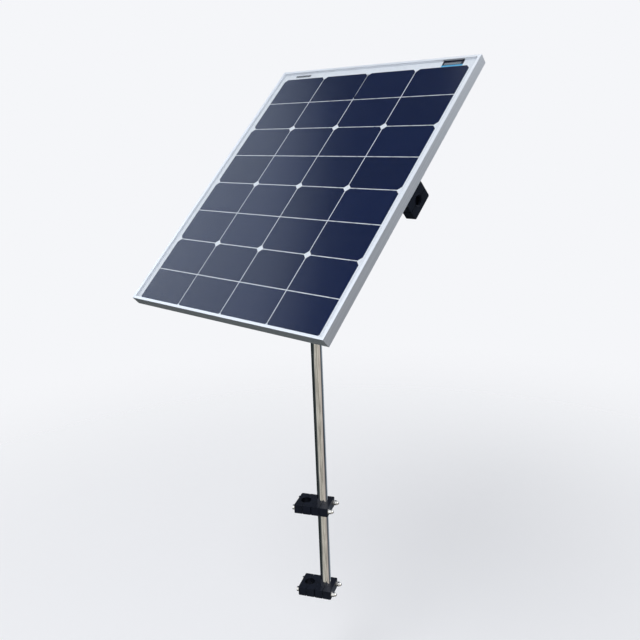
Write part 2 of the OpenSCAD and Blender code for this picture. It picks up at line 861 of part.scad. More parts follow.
module mast_foot_plug() {
    color(NYLON) translate([mast_x, mast_y, mast_foot_z]) {
        translate([0, 0, -PLUG_HEAD]) cylinder(r = plug_r, h = PLUG_HEAD);
        cylinder(r = tube_bore_r - turn_clear, h = PLUG_DEEP);
    }
}

// ---- rail clamps ----

// Each stack, from the stanchion's far side: rail jaw, rail block, mast block, mast jaw.
module rail_jaw() {
    color(NYLON) translate([0, -axis_pitch, 0]) mirror([0, 1, 0]) clamp_shell(rail_r);
}

module rail_block() {
    color(NYLON) translate([0, -axis_pitch, 0]) clamp_shell(rail_r);
}

module mast_block() {
    color(NYLON) mirror([0, 1, 0]) clamp_shell(turn_r);
}

module mast_jaw() {
    color(NYLON) clamp_shell(turn_r);
}

module lower_rail_jaw() { on_stack(0) rail_jaw(); }
module lower_rail_block() { on_stack(0) rail_block(); }
module lower_mast_block() { on_stack(0) mast_block(); }
module lower_mast_jaw() { on_stack(0) mast_jaw(); }
module upper_rail_jaw() { on_stack(clamp_spacing) rail_jaw(); }
module upper_rail_block() { on_stack(clamp_spacing) rail_block(); }
module upper_mast_block() { on_stack(clamp_spacing) mast_block(); }
module upper_mast_jaw() { on_stack(clamp_spacing) mast_jaw(); }

module stack_bolts() {
    both_clamps() both_bolts() rotate([-90, 0, 0]) children();
}

module rail_clamp_bolts() {
    shank = stack_end - stack_start + 2 * WASHER_T + NUT_T + THREAD_SPARE - CUT;
    color(STEEL) stack_bolts() translate([0, 0, stack_start - WASHER_T]) {
        translate([0, 0, -HEAD_T]) hex_prism(HEAD_T);
        cylinder(r = bolt_r - THREAD_CLEAR, h = shank);
    }
}

module rail_clamp_washers() {
    color(STEEL) stack_bolts() {
        translate([0, 0, stack_start - WASHER_T]) ring(WASHER_R, bolt_r, WASHER_T);
        translate([0, 0, stack_end]) ring(WASHER_R, bolt_r, WASHER_T);
    }
}

// A hexagon with a domed top, and a blind thread from below.
module dome_nut() {
    difference() {
        union() {
            hex_prism(NUT_T);
            translate([0, 0, NUT_T]) rotate_extrude() intersection() {
                union() {
                    translate([0, DOME_H - DOME_R]) circle(DOME_R);
                    square([DOME_R, DOME_H - DOME_R]);
                }
                square([DOME_R, DOME_H]);
            }
        }
        translate([0, 0, -CUT]) cylinder(r = bolt_r, h = CUT + NUT_T + THREAD_SPARE);
    }
}

module rail_clamp_nuts() {
    color(STEEL) stack_bolts() translate([0, 0, stack_end + WASHER_T]) dome_nut();
}

frame_rail_left();
frame_rail_right();
frame_rail_top();
frame_rail_bottom();
corner_keys();
front_glass();
front_encapsulant();
cell_string_1();
cell_string_2();
cell_string_3();
cell_string_4();
cell_tabs();
bus_ribbons();
rear_encapsulant();
backsheet();
perimeter_seal();
front_label();
front_label_band();
front_strip();
rear_label();
junction_box_pad();
junction_box_base();
junction_box_gasket();
junction_box_lid();
junction_box_screws();
terminal_block();
terminal_clips();
bypass_diodes();
cable_gland_bodies();
cable_gland_nuts();
cable_gland_seals();
left_clamp_frame_shell();
left_clamp_outer_shell();
right_clamp_frame_shell();
right_clamp_outer_shell();
end_clamp_screws();
end_clamp_washers();
end_clamp_nuts();
cross_tube();
cross_tube_cap_left();
cross_tube_cap_right();
tee_fitting();
tee_grub_screws();
mast_tube();
mast_foot_plug();
lower_rail_jaw();
lower_rail_block();
lower_mast_block();
lower_mast_jaw();
upper_rail_jaw();
upper_rail_block();
upper_mast_block();
upper_mast_jaw();
rail_clamp_bolts();
rail_clamp_washers();
rail_clamp_nuts();
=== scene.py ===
"""A solar panel on a stainless T support for a boat's rail: finishes, fine pieces and stage."""
import json
import math

import bmesh
import bpy
from bpy.props import FloatProperty, FloatVectorProperty, IntProperty, PointerProperty
from mathutils import Matrix, Vector

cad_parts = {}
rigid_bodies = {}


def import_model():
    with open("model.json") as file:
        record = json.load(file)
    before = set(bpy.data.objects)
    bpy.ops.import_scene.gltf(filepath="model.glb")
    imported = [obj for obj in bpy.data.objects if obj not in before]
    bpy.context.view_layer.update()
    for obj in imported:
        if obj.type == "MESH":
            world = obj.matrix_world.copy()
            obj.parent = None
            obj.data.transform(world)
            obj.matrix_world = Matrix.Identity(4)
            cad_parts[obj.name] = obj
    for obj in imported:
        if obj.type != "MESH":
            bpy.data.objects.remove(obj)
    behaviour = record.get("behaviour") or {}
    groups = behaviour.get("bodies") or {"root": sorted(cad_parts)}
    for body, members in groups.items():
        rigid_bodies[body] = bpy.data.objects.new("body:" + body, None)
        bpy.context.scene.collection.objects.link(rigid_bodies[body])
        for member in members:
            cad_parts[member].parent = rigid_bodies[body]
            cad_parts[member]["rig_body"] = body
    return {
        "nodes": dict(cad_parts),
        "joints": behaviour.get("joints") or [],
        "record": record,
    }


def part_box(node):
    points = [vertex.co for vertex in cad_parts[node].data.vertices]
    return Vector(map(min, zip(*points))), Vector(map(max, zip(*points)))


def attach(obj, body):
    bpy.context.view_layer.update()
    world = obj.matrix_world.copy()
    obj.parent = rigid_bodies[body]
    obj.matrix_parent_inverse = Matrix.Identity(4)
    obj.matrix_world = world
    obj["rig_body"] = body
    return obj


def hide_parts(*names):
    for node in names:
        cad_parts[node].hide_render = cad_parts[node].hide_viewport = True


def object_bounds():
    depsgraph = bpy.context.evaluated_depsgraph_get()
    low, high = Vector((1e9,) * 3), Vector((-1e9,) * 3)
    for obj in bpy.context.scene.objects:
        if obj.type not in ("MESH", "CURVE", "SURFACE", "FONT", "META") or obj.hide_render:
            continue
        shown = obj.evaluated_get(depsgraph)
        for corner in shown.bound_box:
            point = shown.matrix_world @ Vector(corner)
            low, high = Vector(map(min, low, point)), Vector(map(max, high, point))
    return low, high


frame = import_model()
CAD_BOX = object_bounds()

bl_info = {
    "name": "Rail-mounted solar panel",
    "version": (1, 0, 0),
    "blender": (4, 5, 0),
    "location": "3D Viewport > Sidebar > Solar Panel",
    "description": "Finishes, fine pieces, lights and camera for a solar panel on a T support",
    "category": "Object",
}

MM = 0.001
LIP_WIDTH = 6.2 * MM     # how far the frame's front lip reaches over the glass
INK = 0.02 * MM          # height of a printed tick or rule
HALF_CELLS = 8           # half cells in each string
NO_TURN = Matrix.Identity(4)
NODES = frame["nodes"]
JOINTS = {joint["name"]: joint for joint in frame["joints"]}
MOUNTS = {mount["name"]: mount for mount in frame["record"]["mounts"]}

# The panel's own axes: x along the cross tube, y up the slope, z out of the glass
TILT_POINT = Vector(JOINTS["panel_tilt"]["pos_m"])
BACK_NORMAL = Vector(MOUNTS["fixing_hole_1"]["axis"])
SLOPE = math.atan2(BACK_NORMAL.y, -BACK_NORMAL.z)
PANEL = Matrix.Translation(TILT_POINT) @ Matrix.Rotation(SLOPE, 4, "X")
MAST = Matrix.Translation(Vector(JOINTS["mast_turn"]["pos_m"]))


# ---- colours and nodes ----

def linear(hex_code):
    """An sRGB hex colour as linear red, green, blue and alpha."""
    shares = [int(hex_code[i:i + 2], 16) / 255 for i in (1, 3, 5)]
    return (*(s / 12.92 if s <= 0.04045 else ((s + 0.055) / 1.055) ** 2.4 for s in shares), 1.0)


def add_node(tree, kind, inputs=None, stops=(), **settings):
    """Adds a node, sets it, and fills its inputs with values or with links from other nodes."""
    node = tree.nodes.new(kind)
    for name, value in settings.items():
        setattr(node, name, value)
    for name, value in (inputs or {}).items():
        if isinstance(value, bpy.types.NodeSocket):
            tree.links.new(value, node.inputs[name])
        else:
            node.inputs[name].default_value = value
    for i, (position, hex_code) in enumerate(stops):
        ramp = node.color_ramp.elements
        stop = ramp[i] if i < 2 else ramp.new(position)
        stop.position, stop.color = position, linear(hex_code)
    return node


def finish(name, build):
    """The material of that name, made by build the first time it is asked for."""
    found = bpy.data.materials.get(name)
    if found is None:
        found = bpy.data.materials.new(name)
        found.use_nodes = True
        found.node_tree.nodes.clear()
        shader = build(found.node_tree)
        add_node(found.node_tree, "ShaderNodeOutputMaterial", {"Surface": shader})
    return found


def grain(tree, size, turn=(0, 0, 0), detail=2.0):
    """An uneven pattern whose features have that size in metres along each of the turned axes."""
    place = add_node(tree, "ShaderNodeTexCoord").outputs["Object"]
    scaled = add_node(tree, "ShaderNodeMapping", {"Vector": place, "Rotation": turn, "Scale": size},
                      vector_type="TEXTURE").outputs["Vector"]
    return add_node(tree, "ShaderNodeTexNoise", {"Vector": scaled, "Scale": 1.0, "Detail": detail,
                                                 "Roughness": 0.55}).outputs["Fac"]


def darker(colour, share):
    return (*(c * share for c in colour[:3]), 1.0)


def surface(tree, mottle, tones, etch, roughness, relief=None, **more):
    """A surface that mottle turns from its first tone to its second, whose roughness etch
    spreads over a range, and on which relief, a pattern with its strength and depth, stands up."""
    middle = {"From Min": 0.35, "From Max": 0.65}
    share = add_node(tree, "ShaderNodeMapRange", {"Value": mottle, **middle}).outputs["Result"]
    inputs = {name.replace("_", " "): value for name, value in more.items()}
    inputs["Base Color"] = add_node(tree, "ShaderNodeMix", {
        "Factor": share, "A": tones[0], "B": tones[1]}, data_type="RGBA").outputs["Result"]
    inputs["Roughness"] = add_node(tree, "ShaderNodeMapRange", {
        "Value": etch, **middle, "To Min": roughness[0], "To Max": roughness[1]}).outputs["Result"]
    if relief:
        pattern, strength, depth = relief
        inputs["Normal"] = add_node(tree, "ShaderNodeBump", {
            "Height": pattern, "Strength": strength, "Distance": depth}).outputs["Normal"]
    return add_node(tree, "ShaderNodeBsdfPrincipled", inputs).outputs["BSDF"]


# ---- finishes ----

def anodised(along):
    """Satin anodised aluminium rail, extruded along one of the panel's axes."""
    def build(tree):
        # Die lines are some 0.2 mm apart, and are drawn at 1.2 mm so that they show
        lines = [1.2 * MM] * 3
        lines[along] = 220 * MM
        streaks = grain(tree, lines, (SLOPE, 0, 0), 3.0)
        etch = grain(tree, [0.7 * MM] * 3)
        colour = bpy.context.scene.solar_finishes.aluminium
        return surface(tree, streaks, (colour, darker(colour, 0.9)), etch, (0.46, 0.54),
                       (streaks, 0.12, 0.05 * MM), Metallic=1.0)
    # A soft white sheen with faint lines that run the length of the rail
    return finish("anodised_aluminium_" + "xy"[along], build)


def polished_steel():
    """Stainless tube, drawn and buffed along its length."""
    def build(tree):
        # Buffing lines are finer than 0.1 mm, and are drawn at 6 mm so that they show
        lines = grain(tree, (6 * MM, 6 * MM, 250 * MM), detail=3.0)
        smudge = grain(tree, [35 * MM] * 3)
        colour = bpy.context.scene.solar_finishes.steel
        return surface(tree, smudge, (colour, darker(colour, 0.93)), lines, (0.04, 0.1),
                       (lines, 1.0, 0.8 * MM), Metallic=1.0)
    # A near mirror, which draws out what it reflects into long streaks
    return finish("polished_stainless_tube", build)


def cast_steel():
    """Stainless tee, cast and tumbled bright."""
    def build(tree):
        orange_peel = grain(tree, [2.2 * MM] * 3)
        colour = bpy.context.scene.solar_finishes.steel
        return surface(tree, orange_peel, (colour, darker(colour, 0.9)), orange_peel,
                       (0.14, 0.24), (orange_peel, 0.1, 0.08 * MM), Metallic=1.0)
    # Bright but a little uneven, so its reflections waver
    return finish("cast_stainless", build)


def fastener_steel():
    """Stainless screws and nuts, cold formed."""
    def build(tree):
        marks = grain(tree, [0.5 * MM, 0.5 * MM, 1.5 * MM])
        colour = bpy.context.scene.solar_finishes.steel
        return surface(tree, marks, (colour, darker(colour, 0.86)), marks, (0.12, 0.26),
                       (marks, 0.08, 0.02 * MM), Metallic=1.0)
    # Bright flats with a fine grain of tool marks
    return finish("cold_formed_stainless", build)


def tempered_glass():
    """Tempered low-iron glass with an anti-reflection coat and a light stipple."""
    def build(tree):
        # The stipple is about 0.8 mm across
        stipple = grain(tree, [0.8 * MM] * 3, (SLOPE, 0, 0))
        colour = bpy.context.scene.solar_finishes.glass
        inside = add_node(tree, "ShaderNodeNewGeometry").outputs["Backfacing"]
        outside = add_node(tree, "ShaderNodeMath", {0: 1.0, 1: inside},
                           operation="SUBTRACT").outputs["Value"]
        fresnel = add_node(tree, "ShaderNodeFresnel", {"IOR": 1.5}).outputs["Fac"]
        share = add_node(tree, "ShaderNodeMath", {0: fresnel, 1: outside},
                         operation="MULTIPLY").outputs["Value"]
        clear = add_node(tree, "ShaderNodeBsdfTransparent", {"Color": colour}).outputs["BSDF"]
        roughness = add_node(tree, "ShaderNodeMapRange", {
            "Value": stipple, "From Min": 0.35, "From Max": 0.65, "To Min": 0.06,
            "To Max": 0.07}).outputs["Result"]
        # The anti-reflection coat leaves about an eighth of what bare glass reflects
        sheen = add_node(tree, "ShaderNodeBsdfAnisotropic", {
            "Color": linear("#636363"), "Roughness": roughness}).outputs["BSDF"]
        return add_node(tree, "ShaderNodeMixShader", {0: share, 1: clear, 2: sheen}).outputs[0]
    # A faint sheen of sky over the cells, while light still reaches them
    return finish("tempered_solar_glass", build)


def silicon():
    """Monocrystalline silicon wafer, etched and given its blue anti-reflection coat."""
    def build(tree):
        place = add_node(tree, "ShaderNodeTexCoord").outputs["Object"]
        low, high = panel_box("cell_string_1")
        half_cell = Vector((high.x - low.x, (high.y - low.y) / HALF_CELLS, 0.05))
        grid = add_node(tree, "ShaderNodeMapping", {
            "Vector": place, "Location": PANEL @ low, "Rotation": (SLOPE, 0, 0), "Scale": half_cell},
            vector_type="TEXTURE").outputs["Vector"]
        cell = add_node(tree, "ShaderNodeVectorMath", {0: grid}, operation="FLOOR").outputs["Vector"]
        lot = add_node(tree, "ShaderNodeTexWhiteNoise", {"Vector": cell}).outputs["Value"]
        etch = grain(tree, [1.5 * MM] * 3)
        roughness = add_node(tree, "ShaderNodeMapRange", {
            "Value": etch, "From Min": 0.35, "From Max": 0.65, "To Min": 0.38,
            "To Max": 0.4}).outputs["Result"]
        colour = bpy.context.scene.solar_finishes.silicon
        tone = add_node(tree, "ShaderNodeMix", {"Factor": lot, "A": colour, "B": darker(colour, 0.8)},
                        data_type="RGBA").outputs["Result"]
        return add_node(tree, "ShaderNodeBsdfPrincipled", {
            "Base Color": tone,
            "Specular IOR Level": 0.1,
            "Roughness": roughness,
            "Coat Weight": 0.88,
            "Coat Roughness": 0.065,
            "Coat IOR": 1.5}).outputs["BSDF"]
    # Deep navy under a clear coat that holds the sky, each wafer a shade off its neighbours
    return finish("etched_silicon", build)


def plain_sheet(name, colour, roughness, size, depth):
    """A smooth sheet or moulding with a grain of that size."""
    def build(tree):
        pattern = grain(tree, [size] * 3)
        return surface(tree, pattern, (colour, darker(colour, 0.94)), pattern,
                       (roughness, roughness + 0.1), (pattern, 0.2, depth))
    return finish(name, build)


def white_encapsulant():
    # White EVA behind the cells: even and slightly cool, with a faint mottle of its curing
    return plain_sheet("white_eva", bpy.context.scene.solar_finishes.white, 0.4, 6 * MM, 0.01 * MM)


def backsheet_film():
    # Fluoropolymer film: matt white with a fine orange peel
    return plain_sheet("white_backsheet_film", linear("#eceef2"), 0.5, 2.5 * MM, 0.05 * MM)


def silicone():
    # Cured silicone: white and waxy
    return plain_sheet("silicone_sealant", linear("#e6eaf2"), 0.45, 1.5 * MM, 0.1 * MM)


def moulded_nylon():
    """Glass-filled nylon, moulded: near black, with a bluish bloom and a fine grain."""
    def build(tree):
        # The mould's texture is about 0.3 mm, and is drawn at 0.8 mm so that it shows
        texture = grain(tree, [0.8 * MM] * 3)
        bloom = grain(tree, [14 * MM] * 3)
        tones = (bpy.context.scene.solar_finishes.nylon, linear("#0c0f18"))
        return surface(tree, bloom, tones, texture, (0.36, 0.52), (texture, 0.25, 0.06 * MM),
                       Specular_IOR_Level=0.3, Specular_Tint=linear("#a9b9e6"))
    # Dark flanks and softly shining top faces
    return finish("glass_filled_nylon", build)


def box_plastic():
    # Moulded PPO: black and even, with a spark-eroded grain
    return plain_sheet("moulded_black_ppo", linear("#17191d"), 0.42, 0.9 * MM, 0.08 * MM)


def rubber():
    # EPDM: dead black and matt
    return plain_sheet("epdm_rubber", linear("#141416"), 0.7, 0.8 * MM, 0.05 * MM)


def stamped_metal(name, colour, roughness, size):
    """A plain rolled or stamped metal with a grain of that size."""
    def build(tree):
        pattern = grain(tree, [size, size, 4 * size])
        return surface(tree, pattern, (colour, darker(colour, 0.88)), pattern,
                       (roughness, roughness + 0.12), Metallic=1.0)
    return finish(name, build)


def tinned_copper():
    # Dip-tinned ribbon: dull silver
    return stamped_metal("tinned_copper", linear("#c9ccd1"), 0.3, 0.8 * MM)


def brass():
    # Stamped brass: warm yellow with a rolled grain
    return stamped_metal("stamped_brass", linear("#c9a14e"), 0.25, 0.6 * MM)


def printed_film(name, colour):
    # Printed polyester label: flat colour under a satin film
    return plain_sheet(name, colour, 0.28, 3 * MM, 0.005 * MM)


# ---- shapes ----

def panel_box(name):
    """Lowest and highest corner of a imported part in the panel's own axes."""
    inverse = PANEL.inverted()
    points = [inverse @ vertex.co for vertex in NODES[name].data.vertices]
    return (Vector(min(p[i] for p in points) for i in range(3)),
            Vector(max(p[i] for p in points) for i in range(3)))


def new_piece(name, shape, place, body, material, replaces=(), crease=20):
    """Turns a bmesh into a piece that rides on a body and takes a finish."""
    bmesh.ops.recalc_face_normals(shape, faces=shape.faces)
    mesh = bpy.data.meshes.new(name)
    shape.to_mesh(mesh)
    shape.free()
    mesh.shade_smooth()
    mesh.set_sharp_from_angle(angle=math.radians(crease))
    piece = bpy.data.objects.new(name, mesh)
    bpy.context.scene.collection.objects.link(piece)
    piece.matrix_world = place
    mesh.materials.append(material)
    piece.modifiers.new("flat_faces", "WEIGHTED_NORMAL").keep_sharp = True
    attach(piece, body)
    if replaces:
        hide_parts(*replaces)
    return piece


def rounded(name, radius, material, segments=3):
    """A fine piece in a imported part's place: its sharp edges rounded to that radius."""
    part = NODES[name]
    shape = bmesh.new()
    shape.from_mesh(part.data)
    bmesh.ops.remove_doubles(shape, verts=shape.verts, dist=0.002 * MM)
    bmesh.ops.dissolve_limit(shape, verts=shape.verts, edges=shape.edges,
                             angle_limit=math.radians(0.5))
    sharp = [e for e in shape.edges
             if e.is_manifold and e.calc_face_angle() > math.radians(40)]
    bmesh.ops.bevel(shape, geom=sharp, offset=radius, segments=segments, profile=0.5,
                    affect="EDGES", clamp_overlap=True)
    return new_piece(name + "_fine", shape, NO_TURN, part["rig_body"], material, [name])


def paint(material, *names):
    """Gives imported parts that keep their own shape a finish."""
    for name in names:
        NODES[name].material_slots[0].material = material


def slab(low, high, radius):
    """A box between two corners with rounded edges."""
    shape = bmesh.new()
    bmesh.ops.create_cube(shape, size=1.0)
    size, middle = high - low, (high + low) / 2
    for vertex in shape.verts:
        vertex.co = Vector(vertex.co[i] * size[i] + middle[i] for i in range(3))
    bmesh.ops.bevel(shape, geom=shape.edges, offset=radius, segments=2, profile=0.5,
                    affect="EDGES", clamp_overlap=True)
    return shape


def turned(rings, steps=96):
    """A solid of rings: each is a height and a radius, which may depend on the angle."""
    shape = bmesh.new()
    angles = [2 * math.pi * i / steps for i in range(steps)]
    loops = []
    for height, radius in rings:
        reach = radius if callable(radius) else lambda angle, r=radius: r
        loops.append([shape.verts.new((reach(a) * math.cos(a), reach(a) * math.sin(a), height))
                      for a in angles])
    for lower, upper in zip(loops, loops[1:]):
        for i in range(steps):
            j = (i + 1) % steps
            shape.faces.new((lower[i], lower[j], upper[j], upper[i]))
    return shape, loops


def solid_of_rings(rings, steps=96):
    """A turned solid with flat ends."""
    shape, loops = turned(rings, steps)
    shape.faces.new(loops[0])
    shape.faces.new(loops[-1])
    return shape


def ring_of_rings(rings, steps=96):
    """A turned solid whose last ring closes on its first, so that it has a bore."""
    return turned([*rings, rings[0]], steps)[0]


def joined(shapes_and_places):
    """Several shapes, each moved to its place, as one."""
    whole = bmesh.new()
    for shape, place in shapes_and_places:
        bmesh.ops.transform(shape, matrix=place, verts=shape.verts)
        mesh = bpy.data.meshes.new("part")
        shape.to_mesh(mesh)
        shape.free()
        whole.from_mesh(mesh)
        bpy.data.meshes.remove(mesh)
    bmesh.ops.remove_doubles(whole, verts=whole.verts, dist=0.001 * MM)
    return whole


# ---- settings ----

def colour_setting(name, description, hex_code):
    return FloatVectorProperty(name=name, description=description, subtype="COLOR", size=4,
                               min=0.0, max=1.0, default=linear(hex_code))


class SolarFinishes(bpy.types.PropertyGroup):
    """Colours of the panel and its support"""
    aluminium: colour_setting("Aluminium", "Colour of the anodised frame", "#f3f6fa")
    steel: colour_setting("Steel", "Colour of the tubes and fasteners", "#dcdad6")
    glass: colour_setting("Glass", "Tint of the glass", "#fdfefe")
    silicon: colour_setting("Silicon", "Colour of the cells", "#111f44")
    white: colour_setting("White", "Colour behind the cells", "#edf0f8")
    nylon: colour_setting("Nylon", "Colour of the clamps", "#080a0f")
    label: colour_setting("Label", "Colour of the front label", "#14182c")
    band: colour_setting("Band", "Colour of the front label's band", "#4fb4e6")


class SolarSizes(bpy.types.PropertyGroup):
    """Sizes of the fine detail"""
    frame_edge: FloatProperty(
        name="Frame edge", description="Edge radius of the frame's rails",
        default=0.6 * MM, min=0.1 * MM, max=0.7 * MM, unit="LENGTH")
    clamp_edge: FloatProperty(
        name="Clamp edge", description="Edge radius of the moulded clamps",
        default=0.7 * MM, min=0.2 * MM, max=1.5 * MM, unit="LENGTH")
    tube_segments: IntProperty(
        name="Tube segments", description="Segments round a tube", default=128, min=32, max=256)


class SolarStage(bpy.types.PropertyGroup):
    """Camera, floor and lights"""
    azimuth: FloatProperty(
        name="Azimuth", description="Camera's bearing from in front of the panel",
        default=math.radians(42.41), subtype="ANGLE")
    elevation: FloatProperty(
        name="Elevation", description="How far the camera looks down",
        default=math.radians(15.44), subtype="ANGLE")
    roll: FloatProperty(
        name="Roll", description="How far the camera leans", default=math.radians(-2.226),
        subtype="ANGLE")
    distance: FloatProperty(
        name="Distance", description="Camera to the tilt axis, along its view",
        default=1.5464, subtype="DISTANCE")
    aside: FloatProperty(
        name="Aside", description="Camera's offset to its right", default=0.0206,
        subtype="DISTANCE")
    rise: FloatProperty(
        name="Rise", description="Camera's offset upwards", default=-0.2629, subtype="DISTANCE")
    lens: FloatProperty(
        name="Lens", description="Focal length in millimetres", default=41.54, min=10, max=200)
    floor_drop: FloatProperty(
        name="Floor drop", description="Floor below the lowest piece, clear of the mast's travel",
        default=0.30, subtype="DISTANCE")
    key_power: FloatProperty(
        name="Key power", description="Power of the large soft light in watts", default=26.0)


# ---- operators ----

class SOLAR_OT_frame(bpy.types.Operator):
    """Make the four extruded rails of the panel's frame, and finish their corner keys"""
    bl_idname = "solar.frame"
    bl_label = "Frame"

    def execute(self, context):
        radius = context.scene.solar_sizes.frame_edge
        for side in ("left", "right"):
            rounded("frame_rail_" + side, radius, anodised(1))
        for side in ("top", "bottom"):
            rounded("frame_rail_" + side, radius, anodised(0))
        paint(anodised(0), "corner_keys")
        return {"FINISHED"}


def lip_seal(glass_top):
    """A skin of sealant down the lip's edge and through to the white sheet, clear of the label."""
    left, bottom = panel_box("frame_rail_left")[0], panel_box("frame_rail_bottom")[0]
    right, top = panel_box("frame_rail_right")[1], panel_box("frame_rail_top")[1]
    x0, x1 = left.x + LIP_WIDTH, right.x - LIP_WIDTH
    y0, y1 = bottom.y + LIP_WIDTH, top.y - LIP_WIDTH
    label_low, label_high = panel_box("front_label")
    skin, floor, roof = 0.4 * MM, label_high.z + 0.05 * MM, glass_top + 0.2 * MM
    bars = (((x0 - skin, y0), (x0, y1)), ((x1, y0), (x1 + skin, y1)),
            ((x0, y1), (label_low.x, y1 + skin)), ((label_high.x, y1), (x1, y1 + skin)))
    return joined([(slab(Vector((*near, floor)), Vector((*far, roof)), 0.05 * MM), NO_TURN)
                   for near, far in bars])


class SOLAR_OT_laminate(bpy.types.Operator):
    """Make the glass pane and its seal, and finish the sheets behind it"""
    bl_idname = "solar.laminate"
    bl_label = "Laminate"

    def execute(self, context):
        low, high = panel_box("front_glass")
        low.z = panel_box("front_encapsulant")[0].z + 0.05 * MM
        new_piece("glass_pane", slab(low, high, 0.4 * MM), PANEL, "panel", tempered_glass(),
                  ["front_glass", "front_encapsulant"])
        new_piece("seal_bead", lip_seal(high.z), PANEL, "panel", silicone())
        paint(white_encapsulant(), "rear_encapsulant")
        paint(backsheet_film(), "backsheet")
        paint(silicone(), "perimeter_seal")
        return {"FINISHED"}


class SOLAR_OT_cells(bpy.types.Operator):
    """Finish the strings of cells with their tabs and ribbons"""
    bl_idname = "solar.cells"
    bl_label = "Cells"

    def execute(self, context):
        paint(silicon(), *[f"cell_string_{i}" for i in range(1, 5)])
        paint(tinned_copper(), "cell_tabs", "bus_ribbons")
        return {"FINISHED"}


def tick_row(name, low, high, width, gap, lean, material):
    """A row of plain leaning ticks between two corners in the panel's axes."""
    shape = bmesh.new()
    x = low.x
    while x + width <= high.x:
        corners = [(x, low.y), (x + width, low.y), (x + width + lean, high.y), (x + lean, high.y)]
        floor = [shape.verts.new((cx, cy, low.z)) for cx, cy in corners]
        roof = [shape.verts.new((cx, cy, high.z)) for cx, cy in corners]
        shape.faces.new(floor)
        shape.faces.new(roof)
        for i in range(4):
            shape.faces.new((floor[i], floor[(i + 1) % 4], roof[(i + 1) % 4], roof[i]))
        x += width + gap
    return new_piece(name, shape, PANEL, "panel", material)


class SOLAR_OT_labels(bpy.types.Operator):
    """Finish the labels, and print plain ticks and rules on them"""
    bl_idname = "solar.labels"
    bl_label = "Labels"

    def execute(self, context):
        finishes = context.scene.solar_finishes
        pale = printed_film("pale_print", linear("#d9e0ea"))
        grey = printed_film("grey_print", linear("#232831"))
        paint(printed_film("navy_label_film", finishes.label), "front_label")
        paint(printed_film("blue_label_film", finishes.band), "front_label_band")
        paint(printed_film("white_label_film", linear("#dfe3ec")), "front_strip")
        paint(printed_film("silver_label_film", linear("#c9ced6")), "rear_label")
        low, high = panel_box("front_label")
        tick_row("front_label_ticks",
                 Vector((low.x + 5 * MM, low.y + 1.5 * MM, high.z)),
                 Vector((high.x - 7 * MM, low.y + 7.5 * MM, high.z + INK)),
                 1.5 * MM, 2.9 * MM, 1.2 * MM, pale)
        low, high = panel_box("front_strip")
        tick_row("front_strip_ticks",
                 Vector((low.x + 1 * MM, low.y + 0.7 * MM, high.z)),
                 Vector((high.x - 1 * MM, high.y - 0.7 * MM, high.z + INK)),
                 3.6 * MM, 1.1 * MM, 0, grey)
        low, high = panel_box("rear_label")
        for row in range(6):
            y = high.y - (7 + 7.2 * row) * MM
            tick_row(f"rear_label_rule_{row + 1}",
                     Vector((low.x + 5 * MM, y, low.z - INK)),
                     Vector((high.x - 5 * MM, y + 1.2 * MM, low.z)),
                     33 * MM, 4 * MM, 0, grey)
        return {"FINISHED"}


class SOLAR_OT_junction_box(bpy.types.Operator):
    """Make the junction box's mouldings, and finish what is in it"""
    bl_idname = "solar.junction_box"
    bl_label = "Junction box"

    def execute(self, context):
        rounded("junction_box_base", 0.6 * MM, box_plastic())
        rounded("junction_box_lid", 0.6 * MM, box_plastic())
        rounded("terminal_block", 0.4 * MM, box_plastic())
        low, high = panel_box("junction_box_lid")
        rib_pitch, rib_half, rib_end = 9 * MM, 1.2 * MM, 14 * MM
        ribs = []
        for i in range(-2, 3):
            x = (low.x + high.x) / 2 + i * rib_pitch
            ribs.append((slab(Vector((x - rib_half, low.y + rib_end, low.z - 0.7 * MM)),
                              Vector((x + rib_half, high.y - rib_end, low.z + 0.3 * MM)),
                              0.3 * MM), NO_TURN))
        new_piece("junction_box_ribs", joined(ribs), PANEL, "panel", box_plastic())
        paint(box_plastic(), "bypass_diodes")
        paint(silicone(), "junction_box_pad")
        paint(rubber(), "junction_box_gasket", "cable_gland_seals")
        paint(brass(), "terminal_clips")
        paint(fastener_steel(), "junction_box_screws")
        return {"FINISHED"}


class SOLAR_OT_glands(bpy.types.Operator):
    """Make the cable glands with their ribbed nuts"""
    bl_idname = "solar.glands"
    bl_label = "Cable glands"

    def execute(self, context):
        rounded("cable_gland_bodies", 0.3 * MM, box_plastic())
        low, high = panel_box("cable_gland_nuts")
        bore = MOUNTS["cable_inlet_1"]["dims"]["r_mm"] * MM + 0.2 * MM
        thread = 4.8 * MM
        radius, length = (high.z - low.z) / 2, high.y - low.y
        inlets = [PANEL.inverted() @ Vector(MOUNTS[f"cable_inlet_{i}"]["pos_m"]) for i in (1, 2)]

        def fluted(angle):
            return radius * (1 - 0.05 * (math.cos(12 * angle) > 0.3))
        rings = [(0, thread), (0, 0.94 * radius), (0.6 * MM, fluted), (0.58 * length, fluted),
                 (0.66 * length, 0.86 * radius), (0.88 * length, 0.78 * radius),
                 (length, 0.6 * radius), (length, bore), (0.6 * length, bore),
                 (0.58 * length, thread)]
        nuts = []
        for inlet in inlets:
            place = Matrix.Translation((inlet.x, high.y, inlet.z)) @ Matrix.Rotation(
                math.pi / 2, 4, "X")
            nuts.append((ring_of_rings(rings), place))
        new_piece("cable_gland_nuts_fine", joined(nuts), PANEL, "panel", box_plastic(),
                  ["cable_gland_nuts"])
        return {"FINISHED"}


